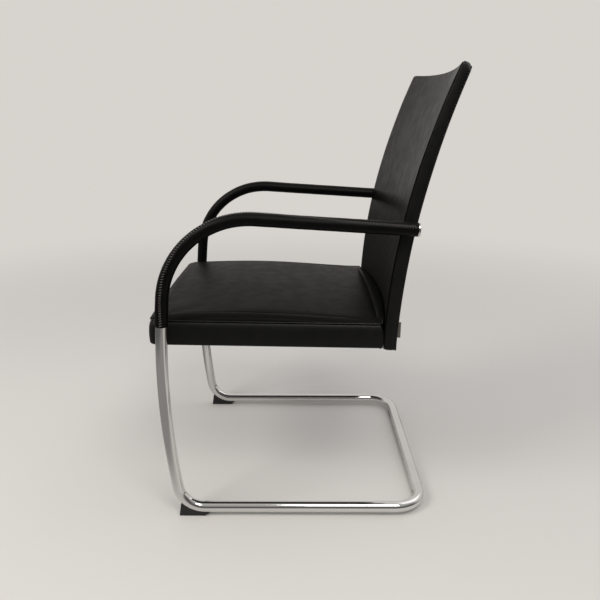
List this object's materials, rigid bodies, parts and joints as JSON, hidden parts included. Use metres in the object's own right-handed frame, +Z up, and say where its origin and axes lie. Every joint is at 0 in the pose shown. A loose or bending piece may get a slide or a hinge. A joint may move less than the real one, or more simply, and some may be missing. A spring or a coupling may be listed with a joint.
{
  "type": "cantilever armchair",
  "caption": "Cantilever armchair: one bent chrome tube makes runners, legs and leather-covered arms, and carries a padded seat and a hollow, leaning back.",
  "frame": {"origin": "on the floor under the middle of the chair's box", "axes": "+Z up, -Y the way a sitter faces, +X the sitter's left"},
  "size_m": [0.5774, 0.669, 0.9758],
  "materials": {
    "tube_chrome": "polished",
    "plug_chrome": "polished",
    "sleeve_leather": "satin",
    "seat_leather": "satin",
    "welt_leather": "satin",
    "back_leather": "satin",
    "back_rear_leather": "satin",
    "glide_plastic": "matte",
    "fixing_steel": "satin",
    "spacer_steel": "matte",
    "frame_steel": "matte",
    "webbing": "matte",
    "foam": "matte",
    "plywood": "matte",
    "dust_cloth": "matte"
  },
  "bodies": {
    "root": {"arm_bolts": "fixing_steel", "arm_bracket_left": "frame_steel", "arm_bracket_right": "frame_steel", "arm_end_plug_left": "plug_chrome", "arm_end_plug_right": "plug_chrome", "arm_sleeve_left": "sleeve_leather", "arm_sleeve_right": "sleeve_leather", "arm_spacers": "spacer_steel", "arm_washers": "fixing_steel", "back_boxing": "back_rear_leather", "back_front_cover": "back_leather", "back_front_foam": "foam", "back_rear_cover": "back_rear_leather", "back_rear_foam": "foam", "back_shell": "plywood", "bracket_screws": "fixing_steel", "frame_tube": "tube_chrome", "front_glide_left": "glide_plastic", "front_glide_right": "glide_plastic", "glide_screws": "fixing_steel", "leg_bolts": "fixing_steel", "leg_spacers": "spacer_steel", "leg_washers": "fixing_steel", "link_bolts": "fixing_steel", "link_spacers": "spacer_steel", "link_tee_nuts": "fixing_steel", "link_washers": "fixing_steel", "rear_glide_left": "glide_plastic", "rear_glide_right": "glide_plastic", "seat_boxing": "seat_leather", "seat_dust_cover": "dust_cloth", "seat_foam": "foam", "seat_frame": "frame_steel", "seat_top_cover": "seat_leather", "seat_webbing_cross": "webbing", "seat_webbing_long": "webbing", "seat_welt": "welt_leather", "tube_bushes": "fixing_steel"}
  },
  "joints": []
}
